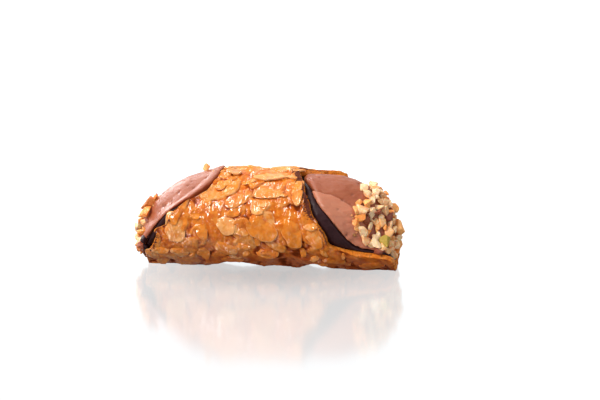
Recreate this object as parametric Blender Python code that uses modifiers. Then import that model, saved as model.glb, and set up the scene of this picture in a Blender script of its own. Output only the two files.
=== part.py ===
"""A filled almond cannolo, lying on its side as it is served.

A wafer of baked sliced almonds is rolled into a tube, the crust. It is lined with dark chocolate
and filled with chocolate cream, which swells out of both slanting mouths. The crust is cut back at
the top and runs out at the bottom into a trough, or tongue, at each end.

Blender units are metres, +Z is up and the tube runs along X. An angle round the tube is in
degrees, from the top towards -Y, so 90 is the front, 180 the underside and 270 the back.
Tables of rims and flakes are in millimetres and degrees.
"""

import math
import random

import bmesh
import bpy
from mathutils import Vector, noise

MM = 0.001

# Driving dimensions
CRUST_R = 21.0 * MM  # outer radius of the crust, midway between its lumps and dents
CRUST_WALL = 2.6 * MM
LINING_WALL = 2.0 * MM
GAP = 0.3 * MM  # clearance between neighbouring solids
AXIS_Z = 21.2 * MM  # the axis above the resting plane

LINING_R = CRUST_R - CRUST_WALL - GAP
CREAM_R = LINING_R - LINING_WALL - GAP
DEGREE = math.radians(1) * CRUST_R  # arc length of one degree on the crust

# The crust's surface
LUMP = 0.7 * MM
LUMP_SIZE = 11 * MM
RIM_ROUNDING = 0.7 * MM
RIM_ROUNDED = 0.06  # share of the crust's length over which a rim is rounded
SEAM = 337  # angle of the flap's edge, where the rolled wafer overlaps itself
FLAP_RISE = 1.5 * MM
FLAP_SPREAD = 50  # degrees over which the flap climbs onto the wafer below it
FOOT = 1.9 * MM  # how far the underside swells. The resting plane cuts this off, so it is flat
FOOT_SPREAD = 32  # degrees either side of the underside's middle
ARCHES = ((-14, 13, 1.8), (5, 9, 1.0), (21.5, 7, 1.9))  # middle, half length and height in mm

# Where each layer ends along X, by angle
CRUST_RIGHT = {
    0: 13.5, 45: 18.5, 77: 22.5, 100: 27.2, 120: 30.5, 130: 42, 137: 57.2,
    180: 56.8, 224: 55.5, 236: 51, 270: 45, 315: 36.5, 328: 30, 344: 17.5,
}  # fmt: skip
CRUST_LEFT = {
    0: -21, 30: -22, 50: -25, 63: -33, 80: -39.5, 100: -44, 127: -50,
    150: -54.5, 180: -55, 215: -54, 240: -49, 270: -42, 300: -33, 330: -24,
}  # fmt: skip
LINING_RIGHT = {
    0: 14.8, 35: 20.4, 59: 24, 79: 29.2, 92: 32.4, 114: 37.6, 127: 42, 137: 55.5,
    180: 56.4, 224: 55, 236: 52, 270: 46.5, 315: 36.5, 342: 20.5,
}  # fmt: skip
LINING_LEFT = {
    0: -22.3, 30: -23.5, 55: -30, 78: -42.3, 104: -48.8, 129: -53,
    150: -54.2, 180: -54.6, 215: -54, 240: -51, 270: -45, 300: -35, 330: -25.5,
}  # fmt: skip

# How the cream swells out of a mouth. The mouth's slanting cut crosses the axis at one place along
# X and reaches its slant either side of that. The dome rises from its heart, a point in the mouth's
# plane as X and height above the axis, by its rise, in a direction from +X towards +Z.
RIGHT_DOME = {"cut": 36.5, "slant": 21.5, "heart": (36.0, 0.8), "rise": 17.0, "lean": 52.0}
LEFT_DOME = {"cut": -38.5, "slant": -16.5, "heart": (-39.5, -1.0), "rise": 16.0, "lean": 140.0}
DOME_POWER = 2.4
DOME_ROUNDNESS = 0.72
BRIM = 0.5 * MM  # how far past the lining's rim the cream spreads over it
BRIM_R = LINING_R - 0.3 * MM

# Sliced almonds on the front and top: x, angle, length, width, turn from +X towards the underside,
# and how far the slice's lower edge stands off the crust
FLAKE_WALL = 1.1 * MM
FLAKE_GAP = 0.4 * MM
FLAKE_CORE = 0.55  # share of a slice's size at which its faces start to thin towards the edge
EDGE_DROP = 0.25 * MM
EDGE_LIFT = 0.15 * MM
FLAKE_TAPER = 0.22  # how much narrower a slice's pointed end is
FLAKE_STIFFNESS = 0.4  # 0 follows the crust's curve and 1 is flat
FRONT_FLAKES = (
    (-37.5, 97, 15.0, 10.5, 90, 0.3),
    (-37.5, 130, 10.5, 7.0, 5, 0.3),
    (-27.0, 131, 11.0, 6.0, 60, 0.2),
    (-25.8, 99, 10.5, 5.5, 88, 0.3),
    (-17.0, 121, 12.5, 6.5, 28, 0.5),
    (-15.0, 91, 13.0, 8.5, 40, 0.3),
    (-14.5, 143, 11.0, 6.0, 10, 0.0),
    (0.0, 91, 17.5, 11.5, 38, 0.6),
    (13.6, 98, 19.0, 8.5, 75, 0.5),
    (23.3, 104, 14.5, 6.5, 66, 0.3),
    (31.5, 139, 11.0, 6.0, 8, 0.2),
    (47.0, 148, 13.0, 6.5, 4, 0.0),
    (15.6, 48, 15.5, 5.5, 88, 0.4),
    (3.0, 49, 17.0, 7.5, -6, 0.3),
    (2.6, 23, 17.5, 6.5, -12, 1.3),
    (5.5, 358, 14.0, 6.0, 0, 0.2),
    (-15.5, 12, 9.0, 6.5, 20, 0.3),
    (-19.3, 41, 7.5, 4.5, 80, 0.3),
    (-11.5, 62, 11.0, 8.0, -20, 0.2),
    (1.8, 128, 11.0, 5.0, 8, 0.3),
)

# Sliced almonds on the back, scattered
BACK_SEED = 11
BACK_FLAKES = 15
BACK_TRIES = 4000
BACK_ANGLES = (212, 326)  # clear of the underside and of the flap's edge
BACK_LENGTHS = (12, 18)
BACK_WIDTHS = (7, 10)
RIM_MARGIN = 3.0
FLAKE_SPACING = 1.0

# Facets
ROUND = 48
CRUST_ROWS = 27
CRUST_INNER_ROWS = 5
LINING_ROWS = 8
CREAM_ROUND = 40
CREAM_ROWS = 6
DOME_ROWS = 7
FLAKE_ROUND = 12

COLOURS = {
    "crust": ((0.52, 0.22, 0.055), 0.3),
    "chocolate_lining": ((0.03, 0.013, 0.012), 0.35),
    "cream_filling": ((0.42, 0.17, 0.11), 0.6),
    "almond": ((0.66, 0.34, 0.11), 0.35),
}


def clear_scene():
    for old in list(bpy.data.objects):
        bpy.data.objects.remove(old)


def material(name):
    made = bpy.data.materials.new(name)
    made.use_nodes = True
    colour, roughness = COLOURS[name]
    shader = made.node_tree.nodes["Principled BSDF"]
    shader.inputs["Base Color"].default_value = (*colour, 1)
    shader.inputs["Roughness"].default_value = roughness
    return made


def smoothstep(t):
    t = min(1.0, max(0.0, t))
    return t * t * (3 - 2 * t)


def around(keys, angle):
    """The value at an angle, in metres, on a closed curve through the keys that never overshoots."""
    angles = sorted(keys)
    count = len(angles)
    angle %= 360
    before = max(i for i, key in enumerate(angles) if key <= angle)
    place = [angles[j % count] + 360 * (j // count) for j in range(before - 1, before + 3)]
    value = [keys[angles[j % count]] for j in range(before - 1, before + 3)]
    rates = [(value[i + 1] - value[i]) / (place[i + 1] - place[i]) for i in range(3)]
    start, end = (
        0.0 if a * b <= 0 else 2 * a * b / (a + b) for a, b in (rates[:2], rates[1:])
    )
    span = place[2] - place[1]
    t = (angle - place[1]) / span
    curve = (
        value[1] * (1 + 2 * t) * (1 - t) ** 2
        + span * start * t * (1 - t) ** 2
        + value[2] * t * t * (3 - 2 * t)
        + span * end * t * t * (t - 1)
    )
    return curve * MM


def at(x, angle, radius):
    """The point at a place along the tube, an angle round it and a distance from its axis."""
    turn = math.radians(angle)
    return Vector((x, -radius * math.sin(turn), AXIS_Z + radius * math.cos(turn)))


def flap(angle):
    """How far the overlapping flap lifts the crust's surface at an angle."""
    past_seam = (angle - SEAM) % 360
    return FLAP_RISE * (1 - smoothstep(past_seam / FLAP_SPREAD))


def crust_radius(x, angle):
    lump = LUMP * noise.noise(at(x, angle, CRUST_R) / LUMP_SIZE)
    foot = FOOT * (1 - smoothstep(abs(angle % 360 - 180) / FOOT_SPREAD))
    return CRUST_R + flap(angle) + foot + lump


def underside(x):
    """Height of the crust's underside above the resting plane. It arches off the plane in places."""
    return max(
        rise * MM * (1 - smoothstep(abs(x / MM - middle) / half)) for middle, half, rise in ARCHES
    )


def on_crust(x, angle, lift):
    """A point that stands off the crust's surface by lift, and never below its underside."""
    point = at(x, angle, crust_radius(x, angle) + lift)
    point.z = max(point.z, underside(x))
    return point


def ring_angles(count):
    return [360 * i / count for i in range(count)]


def new_object(name, mesh, kind):
    made = bpy.data.objects.new(name, mesh)
    made.data.materials.append(bpy.data.materials.get(kind) or material(kind))
    bpy.data.collections["cannolo"].objects.link(made)
    return made


def lofted(name, rings, closed_loop, kind):
    """A solid through rings of points. It closes on itself, or its first and last rings are points.

    Seen along the way from one ring to the next, the points of a ring run clockwise round the solid.
    """
    shape = bmesh.new()
    rows = [[shape.verts.new(point) for point in ring] for ring in rings]
    if closed_loop:
        rows.append(rows[0])
    for low, high in zip(rows, rows[1:]):
        count = max(len(low), len(high))
        for i in range(count):
            j = (i + 1) % count
            corners = [low[i % len(low)], low[j % len(low)], high[j % len(high)], high[i % len(high)]]
            shape.faces.new(list(dict.fromkeys(corners)))
    mesh = bpy.data.meshes.new(name)
    shape.to_mesh(mesh)
    shape.free()
    mesh.shade_smooth()
    return new_object(name, mesh, kind)


def rim_rounding(share):
    """How far the crust's outer surface draws in near a rim."""
    reach = min(share, 1 - share) / RIM_ROUNDED
    return RIM_ROUNDING * (1 - smoothstep(reach))


def build_crust():
    angles = ring_angles(ROUND)
    rings = []
    for row in range(CRUST_ROWS + 1):
        share = row / CRUST_ROWS
        ring = []
        for angle in angles:
            left, right = around(CRUST_LEFT, angle), around(CRUST_RIGHT, angle)
            x = left + (right - left) * share
            ring.append(on_crust(x, angle, -rim_rounding(share)))
        rings.append(ring)
    for row in range(CRUST_INNER_ROWS, -1, -1):
        share = row / CRUST_INNER_ROWS
        ring = []
        for angle in angles:
            left, right = around(CRUST_LEFT, angle), around(CRUST_RIGHT, angle)
            ring.append(at(left + (right - left) * share, angle, CRUST_R - CRUST_WALL))
        rings.append(ring)
    return lofted("crust", rings, True, "crust")


def build_lining():
    """An open tube between the two rims, thickened inwards."""
    shape = bmesh.new()
    rows = []
    for row in range(LINING_ROWS + 1):
        share = row / LINING_ROWS
        ring = []
        for angle in ring_angles(ROUND):
            left, right = around(LINING_LEFT, angle), around(LINING_RIGHT, angle)
            ring.append(shape.verts.new(at(left + (right - left) * share, angle, LINING_R)))
        rows.append(ring)
    for low, high in zip(rows, rows[1:]):
        for i in range(ROUND):
            j = (i + 1) % ROUND
            shape.faces.new((low[i], low[j], high[j], high[i]))
    mesh = bpy.data.meshes.new("chocolate_lining")
    shape.to_mesh(mesh)
    shape.free()
    mesh.shade_smooth()
    lining = new_object("chocolate_lining", mesh, "chocolate_lining")
    wall = lining.modifiers.new("wall", "SOLIDIFY")
    wall.thickness = LINING_WALL
    wall.offset = -1
    return lining


def mouth(keys, radius, past=0.0):
    """The ring at a distance from the axis where a layer ends, or past that."""
    return [at(around(keys, angle) + past, angle, radius) for angle in ring_angles(CREAM_ROUND)]


def dome(brim, shape):
    """Rings of points from the cream's brim to the top of its dome.

    They turn from the brim's own ragged outline into the smooth ellipse of a slanting cut.
    """
    heart = Vector((shape["heart"][0] * MM, 0, AXIS_Z + shape["heart"][1] * MM))
    lean = math.radians(shape["lean"])
    rise = Vector((math.cos(lean), 0, math.sin(lean))) * shape["rise"] * MM
    cut = [
        at((shape["cut"] - shape["slant"] * math.cos(math.radians(angle))) * MM, angle, CREAM_R)
        for angle in ring_angles(CREAM_ROUND)
    ]
    rings = []
    for row in range(1, DOME_ROWS):
        share = math.cos(0.5 * math.pi * row / DOME_ROWS)
        height = (1 - share**DOME_POWER) ** DOME_ROUNDNESS
        smooth = smoothstep(1.4 * height)
        outline = [a.lerp(b, smooth) for a, b in zip(brim, cut)]
        rings.append([heart + (point - heart) * share + rise * height for point in outline])
    rings.append([heart + rise])
    return rings


def build_cream():
    left, right = mouth(LINING_LEFT, CREAM_R), mouth(LINING_RIGHT, CREAM_R)
    side = []
    for row in range(CREAM_ROWS + 1):
        side.append([a.lerp(b, row / CREAM_ROWS) for a, b in zip(left, right)])
    left_brim = [mouth(LINING_LEFT, radius, -BRIM) for radius in (BRIM_R, CREAM_R)]
    right_brim = [mouth(LINING_RIGHT, radius, BRIM) for radius in (CREAM_R, BRIM_R)]
    rings = dome(left_brim[0], LEFT_DOME)[::-1] + left_brim + side
    rings += right_brim + dome(right_brim[1], RIGHT_DOME)
    return lofted("cream_filling", rings, False, "cream_filling")


def flake_outline(flake, share):
    """Points of a slice's egg-shaped outline, shrunk to a share of its size, as (along, across)."""
    length, width = flake[2:4]
    points = []
    for i in range(FLAKE_ROUND):
        turn = 2 * math.pi * i / FLAKE_ROUND
        along = 0.5 * length * share * math.cos(turn)
        across = 0.5 * width * share * math.sin(turn) * (1 - FLAKE_TAPER * math.cos(turn))
        points.append((along, across))
    return points


def unrolled(flake, along, across):
    """A slice's own (along, across) as x in mm and angle on the crust."""
    x, angle, _, _, turn, _ = flake
    turn = math.radians(turn)
    offset = along * math.sin(turn) + across * math.cos(turn)
    return (
        x + along * math.cos(turn) - across * math.sin(turn),
        angle + offset * MM / DEGREE,
    )


def flake_point(flake, along, across, height):
    """A point of a slice, height above its lower face. A stiff slice lifts where the crust curves away."""
    x, angle = unrolled(flake, along, across)
    away = math.radians(angle - flake[1])
    stiff = FLAKE_STIFFNESS * 0.5 * CRUST_R * away * away
    tilt = flake[5] * MM * smoothstep(0.5 + (angle - flake[1]) * DEGREE / MM / flake[3])
    return on_crust(x * MM, angle, FLAKE_GAP + stiff + tilt + height)


def build_flake(name, flake):
    edge, inner = flake_outline(flake, 1.0), flake_outline(flake, FLAKE_CORE)
    rings = [
        [flake_point(flake, 0, 0, FLAKE_WALL)],
        [flake_point(flake, *p, FLAKE_WALL) for p in inner],
        [flake_point(flake, *p, FLAKE_WALL - EDGE_DROP) for p in edge],
        [flake_point(flake, *p, EDGE_LIFT) for p in edge],
        [flake_point(flake, *p, 0) for p in inner],
        [flake_point(flake, 0, 0, 0)],
    ]
    return lofted(name, rings, False, "almond")


def covers(flake, x, angle):
    """Whether a slice, with room round it, covers a place on the unrolled crust."""
    turn = math.radians(flake[4])
    dx = x - flake[0]
    ds = ((angle - flake[1] + 180) % 360 - 180) * DEGREE / MM
    along = dx * math.cos(turn) + ds * math.sin(turn)
    across = -dx * math.sin(turn) + ds * math.cos(turn)
    half_length, half_width = 0.5 * flake[2] + FLAKE_SPACING, 0.5 * flake[3] + FLAKE_SPACING
    return (along / half_length) ** 2 + (across / half_width) ** 2 < 1


def fits(flake, others):
    """Whether a slice lies between the rims and clear of the others."""
    for along, across in flake_outline(flake, 1.0) + [(0, 0)]:
        x, angle = unrolled(flake, along, across)
        left = around(CRUST_LEFT, angle) / MM + RIM_MARGIN
        right = around(CRUST_RIGHT, angle) / MM - RIM_MARGIN
        low, high = BACK_ANGLES
        if not (left < x < right and low < angle < high):
            return False
        if any(covers(other, x, angle) for other in others):
            return False
    return True


def back_flakes():
    chance = random.Random(BACK_SEED)
    placed = []
    for _ in range(BACK_TRIES):
        flake = (
            chance.uniform(-50, 54),
            chance.uniform(*BACK_ANGLES),
            chance.uniform(*BACK_LENGTHS),
            chance.uniform(*BACK_WIDTHS),
            chance.uniform(0, 180),
            chance.uniform(0, 0.5),
        )
        if len(placed) < BACK_FLAKES and fits(flake, list(FRONT_FLAKES) + placed):
            placed.append(flake)
    return placed


def build_flakes():
    flakes = list(FRONT_FLAKES) + back_flakes()
    return [build_flake(f"almond_slice_{i:02d}", flake) for i, flake in enumerate(flakes, 1)]


def settle(objects):
    """Moves the objects so that the origin is below the middle of the whole, on the resting plane."""
    bpy.context.view_layer.update()
    graph = bpy.context.evaluated_depsgraph_get()
    corners = [
        made.matrix_world @ Vector(corner)
        for made in objects
        for corner in made.evaluated_get(graph).bound_box
    ]
    low = [min(corner[axis] for corner in corners) for axis in range(3)]
    high = [max(corner[axis] for corner in corners) for axis in range(3)]
    for made in objects:
        made.location = (-(low[0] + high[0]) / 2, -(low[1] + high[1]) / 2, -low[2])


def main():
    clear_scene()
    collection = bpy.data.collections.new("cannolo")
    bpy.context.scene.collection.children.link(collection)
    settle([build_crust(), build_lining(), build_cream(), *build_flakes()])


main()
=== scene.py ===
"""The looks of a filled almond cannolo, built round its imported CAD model.

Lengths are in millimetres until a mesh is made. The tube runs along X. An angle round it is in
degrees, from the top towards -Y, so 90 is the front, 180 the underside and 270 the back. Unrolled,
the crust is a plane of x and arc, the distance round it.
"""

import functools
import math

import bmesh
import bpy
import numpy as np
from mathutils import Matrix, Vector
from mathutils.bvhtree import BVHTree


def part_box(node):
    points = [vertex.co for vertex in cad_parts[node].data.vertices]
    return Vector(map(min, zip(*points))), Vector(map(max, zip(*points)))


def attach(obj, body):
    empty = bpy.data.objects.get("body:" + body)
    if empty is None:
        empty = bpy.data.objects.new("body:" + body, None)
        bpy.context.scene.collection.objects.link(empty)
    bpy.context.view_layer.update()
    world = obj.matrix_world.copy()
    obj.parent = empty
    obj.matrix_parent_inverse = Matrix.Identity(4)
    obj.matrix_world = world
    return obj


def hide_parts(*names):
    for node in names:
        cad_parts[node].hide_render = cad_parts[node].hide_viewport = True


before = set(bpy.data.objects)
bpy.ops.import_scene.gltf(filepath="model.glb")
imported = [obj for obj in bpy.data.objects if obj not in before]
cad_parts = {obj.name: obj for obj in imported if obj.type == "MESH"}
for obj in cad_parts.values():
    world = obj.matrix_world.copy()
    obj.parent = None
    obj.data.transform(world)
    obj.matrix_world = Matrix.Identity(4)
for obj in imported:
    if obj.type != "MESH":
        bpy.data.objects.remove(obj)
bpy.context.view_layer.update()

MM = 0.001

# Sizes that the CAD model gives
LINING_LOW, LINING_HIGH = (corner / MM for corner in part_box("chocolate_lining"))
AXIS_Y = (LINING_LOW.y + LINING_HIGH.y) / 2
AXIS_Z = (LINING_LOW.z + LINING_HIGH.z) / 2
LINING_R = (LINING_HIGH.z - LINING_LOW.z) / 2
CRUST_IN = LINING_R + 0.3
CRUST_R = CRUST_IN + 2.6
DEGREE = math.radians(1) * CRUST_R  # arc of one degree
SLICE_NODES = sorted(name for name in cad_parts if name.startswith("almond_slice"))

# The crust
COLUMNS = 360
ROWS = 246
INNER_ROWS = 14
LIP_SHARES = (0.18, 0.4, 0.62, 0.84)  # rows across a rim, from the outside in
LIP_BULGE = 0.35
SEAM = 337  # angle of the flap's edge
SEAM_TURN = (9, 13, 15)  # x from which it turns towards the back, over what length, by how many degrees
FLAP_RISE = 1.5
FLAP_SPREAD = 50
FOOT = 1.9
FOOT_SPREAD = 32
ARCHES = ((-14, 15, 2.4), (5, 9, 1.1), (21.5, 8.5, 2.5))  # middle, half length and height
BURIED_SLICES = 230  # sliced almonds that are baked into the crust
BURIED_LONG, BURIED_WIDE = (4.5, 8.5), (2.8, 5.2)  # half sizes
BURIED_THICKNESS = 0.62
BURIED_LEAST = 40  # points of the grid that a slice has to cover
POOL_DEPTH, POOL_TONE = 0.12, 0.28
BURIED_RELIEF = (-1.2, 1.05)  # the lowest and the highest
MOAT = 0.22  # depth of the dents along the lower edges of the CAD's slices
SLICE_TAPER = 0.2
ROUND = 2.2  # a slice's outline: 2 is an ellipse, and more is squarer
CORNERS = 9  # the higher, the sharper the corners where a slice has broken
FLARE = (331, 13, 1.2)  # angle, half width and height of the flap's edge where it curls out on the right

# The front's slices, by number: how pale, and the straight breaks in its outline. A break faces a
# direction from +X towards the underside, at a share of the slice's half size that way.
FRONT_SLICES = {
    1: (0.85, ((0, 0.78), (90, 0.86), (-60, 0.85))),
    2: (0.72, ((-92, 0.75), (0, 0.86), (130, 0.68), (48, 0.85))),
    3: (0.55, ((-95, 0.6), (185, 0.7), (20, 0.75))),
    4: (0.55, ((-90, 0.80), (125, 0.75), (0, 0.85))),
    5: (0.62, ((205, 0.85), (-70, 0.8))),
    6: (1.05, ((15, 0.72), (75, 0.86), (-115, 0.8))),
    7: (0.30, ((-80, 0.7), (60, 0.8))),
    8: (0.52, ((-150, 0.82), (-35, 0.8))),
    9: (0.50, ((88, 0.84), (-60, 0.8))),
    10: (0.62, ((68, 0.80), (-110, 0.8))),
    11: (0.45, ((10, 0.85),)),
    12: (0.32, ((180, 0.85), (60, 0.9))),
    13: (0.78, ((0, 0.8),)),
    14: (0.60, ((170, 0.85), (20, 0.8))),
    15: (1.00, ((0, 0.88),)),
    16: (0.80, ((180, 0.85),)),
    17: (0.50, ((150, 0.8), (-30, 0.8))),
    18: (0.55, ((80, 0.8),)),
    19: (0.48, ((-170, 0.8), (60, 0.8))),
    20: (0.42, ((200, 0.85),)),
}

# Small broken slices: x, angle, length, width, turn and how pale
SLIVERS = (
    (-1.5, 73, 7.0, 5.0, 35, 0.95),
    (1.5, 66, 5.0, 2.2, -25, 1.0),
    (-6.0, 34, 8.0, 3.5, -35, 0.7),
    (-14.0, 27, 6.5, 2.6, -60, 0.6),
    (-24.5, 63, 6.0, 4.0, 60, 0.5),
    (-30.0, 82, 5.5, 3.0, 15, 0.45),
    (-22.5, 13, 7.0, 4.0, 5, 0.75),
    (8.5, 116, 7.0, 2.6, 60, 0.6),
    (17.5, 126, 5.0, 3.5, 70, 0.5),
    (26.5, 124, 6.5, 3.0, 55, 0.6),
    (-46.5, 128, 8.5, 5.0, 10, 0.75),
    (-50.5, 139, 8.0, 5.5, 75, 0.8),
    (-42.0, 140, 7.5, 5.0, 60, 0.65),
    (-8.5, 118, 7.0, 3.0, 15, 0.5),
    (11.0, 22, 6.5, 2.6, 30, 0.9),
    (13.0, 3, 6.0, 3.5, -20, 0.55),
    (-17.5, 3, 7.0, 3.2, -20, 0.8),
    (-9.0, 356, 6.0, 3.0, 10, 0.7),
    (-1.5, 4, 6.5, 3.4, -10, 0.95),
    (36.0, 148, 6.0, 3.0, 20, 0.4),
)
STRAY_SLIVERS = 34

# Layers of noise, each a height, a size and a seed
LUMPS = ((0.45, 11, 43), (0.2, 4.5, 44))
SEAM_WAVES = ((3.5, 9, 41), (1.2, 2.5, 42))
POOLS = ((0.55, 13, 53), (0.25, 6, 54))
GRIT = ((0.16, 1.8, 51), (0.09, 1.0, 52))
LIP_GRIT = ((0.3, 1.2, 63), (0.15, 0.6, 64))
SLICE_GRIT = ((0.15, 1.8, 91), (0.07, 0.9, 95))
BROWNED = ((1, 9, 71), (0.5, 4.5, 72), (0.25, 2.25, 73))
CRUST_RIMS = (
    ((0.9, 5, 31), (0.45, 1.9, 32), (0.2, 0.8, 33)),
    ((0.8, 5, 34), (0.4, 1.9, 35), (0.2, 0.8, 36)),
)
LINING_RIMS = (((0.35, 4, 101), (0.15, 1.5, 102)), ((0.35, 4, 103), (0.15, 1.5, 104)))
LINING_WAVES = ((0.16, 5, 105), (0.05, 1.6, 106))

# Where the crust's left and right rims are drawn out to a point: angle, half width and length
POINTS = ((101, 8, -3.0), (343, 11, 3.5))


# ---------------- numbers


def smooth(t):
    t = np.clip(t, 0, 1)
    return t * t * (3 - 2 * t)


def rise(value, start, width):
    """A smooth rise from 0 to 1, which begins at start and takes up width."""
    return smooth((value - start) / width)


def fall(value, start, width):
    return 1 - rise(value, start, width)


LATTICE = 32


@functools.lru_cache(maxsize=None)
def slopes_of(seed):
    slopes = np.random.default_rng(seed).normal(size=(LATTICE, LATTICE, LATTICE, 3))
    return slopes / np.linalg.norm(slopes, axis=-1, keepdims=True)


def noise(points, size, seed):
    """Smooth noise from about -1 to 1 that changes over size, at an array of points."""
    slopes = slopes_of(seed)
    place = np.asarray(points) / size + 7.3
    corner = np.floor(place).astype(int)
    part = place - corner
    fade = part**3 * (part * (part * 6 - 15) + 10)
    total = np.zeros(place.shape[:-1])
    for step in np.ndindex(2, 2, 2):
        index = (corner + step) % LATTICE
        slope = slopes[index[..., 0], index[..., 1], index[..., 2]]
        weight = np.where(step, fade, 1 - fade).prod(-1)
        total += weight * ((part - step) * slope).sum(-1)
    return total * 1.5


def grains(points, *layers):
    """Noise in layers, each a height, a size and a seed."""
    return sum(height * noise(points, size, seed) for height, size, seed in layers)


def wrap(x, angle, radius):
    """Points at places along the tube, angles round it and distances from its axis."""
    turn = np.radians(angle)
    x, turn, radius = np.broadcast_arrays(x, turn, radius)
    return np.stack([x, AXIS_Y - radius * np.sin(turn), AXIS_Z + radius * np.cos(turn)], -1)


def unwrap(points):
    """x, angle and distance from the axis of an array of points."""
    y, z = points[:, 1] - AXIS_Y, points[:, 2] - AXIS_Z
    return points[:, 0], np.degrees(np.arctan2(-y, z)) % 360, np.hypot(y, z)


def turned(angle, start):
    """The turn from start to angle, from -180 to 180."""
    return (angle - start + 180) % 360 - 180


# ---------------- meshes


def linked(name, data):
    """A new object in the scene."""
    made = bpy.data.objects.new(name, data)
    bpy.context.scene.collection.objects.link(made)
    return made


def node_points(node):
    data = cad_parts[node].data
    points = np.empty(len(data.vertices) * 3)
    data.vertices.foreach_get("co", points)
    return points.reshape(-1, 3) / MM


def piece(name, points, faces, material, values=None, smooth_shaded=True):
    """A mesh in the row frame, with numbers for its material at each point."""
    mesh = bpy.data.meshes.new(name)
    mesh.from_pydata(np.asarray(points) * MM, [], faces)
    mesh.validate()
    for key, value in (values or {}).items():
        layer = mesh.attributes.new(key, "FLOAT", "POINT")
        layer.data.foreach_set("value", np.asarray(value, np.float32).ravel())
    if smooth_shaded:
        mesh.shade_smooth()
    mesh.materials.append(material)
    made = linked(name, mesh)
    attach(made, "root")
    return made


def loft_faces(rows, columns, loop=False):
    """Faces between closed rows of points. With loop, the last row joins the first."""
    row = np.arange(rows if loop else rows - 1)[:, None]
    column = np.arange(columns)[None, :]
    after, beside = (row + 1) % rows, (column + 1) % columns
    corners = [row * columns + column, row * columns + beside]
    corners += [after * columns + beside, after * columns + column]
    whole = [np.broadcast_to(corner, (len(row), columns)) for corner in corners]
    return np.stack(whole, -1).reshape(-1, 4).tolist()


def capped(rings):
    """Points and faces of a closed body through rings, each end closed by a fan round its middle."""
    count = len(rings[0])
    points = np.concatenate([*rings, rings[0].mean(0)[None], rings[-1].mean(0)[None]])
    faces = loft_faces(len(rings), count)
    first, last = len(points) - 2, len(points) - 1
    end = (len(rings) - 1) * count
    for i in range(count):
        j = (i + 1) % count
        faces.append([first, j, i])
        faces.append([last, end + i, end + j])
    return points, faces


class Heap:
    """Small bodies of one kind, joined into one piece."""

    def __init__(self):
        self.points, self.faces, self.values, self.total = [], [], [], 0

    def add(self, points, faces, values):
        """Adds a body. Each of its values is one number or one for each point."""
        self.faces += [[i + self.total for i in face] for face in faces]
        self.points.append(points)
        self.values.append({key: np.broadcast_to(each, len(points)) for key, each in values.items()})
        self.total += len(points)

    def build(self, name, material, slot="almond", smooth_shaded=True):
        values = {key: np.concatenate([each[key] for each in self.values]) for key in self.values[0]}
        return piece(name, np.concatenate(self.points), self.faces, material, values, smooth_shaded)


# ---------------- materials


class Tree:
    """A node tree, with short ways to add and join nodes."""

    def __init__(self, owner):
        owner.use_nodes = True
        self.nodes, self.links = owner.node_tree.nodes, owner.node_tree.links

    def feed(self, socket, value):
        """Gives an input a number, a vector, a colour or another node's output."""
        if isinstance(value, bpy.types.NodeSocket):
            self.links.new(value, socket)
        else:
            socket.default_value = (*value, 1) if socket.type == "RGBA" else value

    def give(self, node, *values, **named):
        """Gives a node its settings, in small letters, and its inputs, in order or by name."""
        for key, value in named.items():
            if key[0].islower():
                setattr(node, key, value)
            else:
                self.feed(node.inputs[key.replace("_", " ")], value)
        for socket, value in zip(node.inputs, values):
            self.feed(socket, value)
        return node

    def add(self, kind, *values, **named):
        return self.give(self.nodes.new("ShaderNode" + kind), *values, **named)

    def between(self, value, low, high, to_low=0.0, to_high=1.0):
        """A value's smooth rise from to_low at low to to_high at high."""
        given = (value, low, high, to_low, to_high)
        return self.add("MapRange", *given, interpolation_type="SMOOTHSTEP").outputs["Result"]

    def blend(self, share, none, full):
        """A number that goes from none to full as a share goes from 0 to 1."""
        return self.add("MapRange", share, 0, 1, none, full).outputs["Result"]

    def math(self, operation, *values):
        return self.add("Math", *values, operation=operation).outputs[0]

    def vectors(self, operation, *values):
        """A sum done on two vectors, whose result is a vector or a number."""
        node = self.add("VectorMath", *values, operation=operation)
        return node.outputs["Vector" if operation == "MULTIPLY" else "Value"]


class Shader(Tree):
    """A material's node tree. Its colour is built up in layers, from the lowest one."""

    def __init__(self, name, colour, **constants):
        self.material = bpy.data.materials.new(name)
        super().__init__(self.material)
        self.surface = self.give(self.nodes["Principled BSDF"], **constants)
        self.place = self.add("TexCoord").outputs["Object"]
        self.colour = colour

    def value(self, name):
        return self.add("Attribute", attribute_name=name).outputs["Fac"]

    def grain(self, size, detail=2.0, roughness=0.5, stretch=(1, 1, 1)):
        """Noise from 0 to 1 that changes over size."""
        scaled = self.add("Mapping", Vector=self.place, Scale=stretch).outputs[0]
        scale = 1 / (size * MM)
        noisy = self.add("TexNoise", Vector=scaled, Scale=scale, Detail=detail, Roughness=roughness)
        return noisy.outputs["Fac"]

    def patches(self, size, detail, roughness, low, high, to_low=0.0, to_high=1.0):
        """Noise that changes over size, as a smooth rise from to_low to to_high."""
        return self.between(self.grain(size, detail, roughness), low, high, to_low, to_high)

    def cells(self, size):
        """Distance to the nearest of points that lie about size apart."""
        return self.add("TexVoronoi", Vector=self.place, Scale=1 / (size * MM)).outputs["Distance"]

    def layer(self, colour, share):
        """Covers the colour so far with another: not at all at a share of 0, fully at 1."""
        node = self.add("Mix", data_type="RGBA")
        sockets = [node.inputs["Factor"], *(s for s in node.inputs if s.type == "RGBA")]
        for socket, value in zip(sockets, (share, self.colour, colour)):
            self.feed(socket, value)
        self.colour = next(s for s in node.outputs if s.type == "RGBA")

    def bumps(self, *layers):
        """Normals of a relief. Each layer is a height from 0 to 1 and what that is in millimetres."""
        normal = {}
        for height, distance in layers:
            node = self.add("Bump", Height=height, Distance=distance * MM, Strength=1.0, **normal)
            normal = {"Normal": node.outputs[0]}
        return normal["Normal"]

    def finish(self, **inputs):
        self.give(self.surface, Base_Color=self.colour, **inputs)
        return self.material


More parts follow.
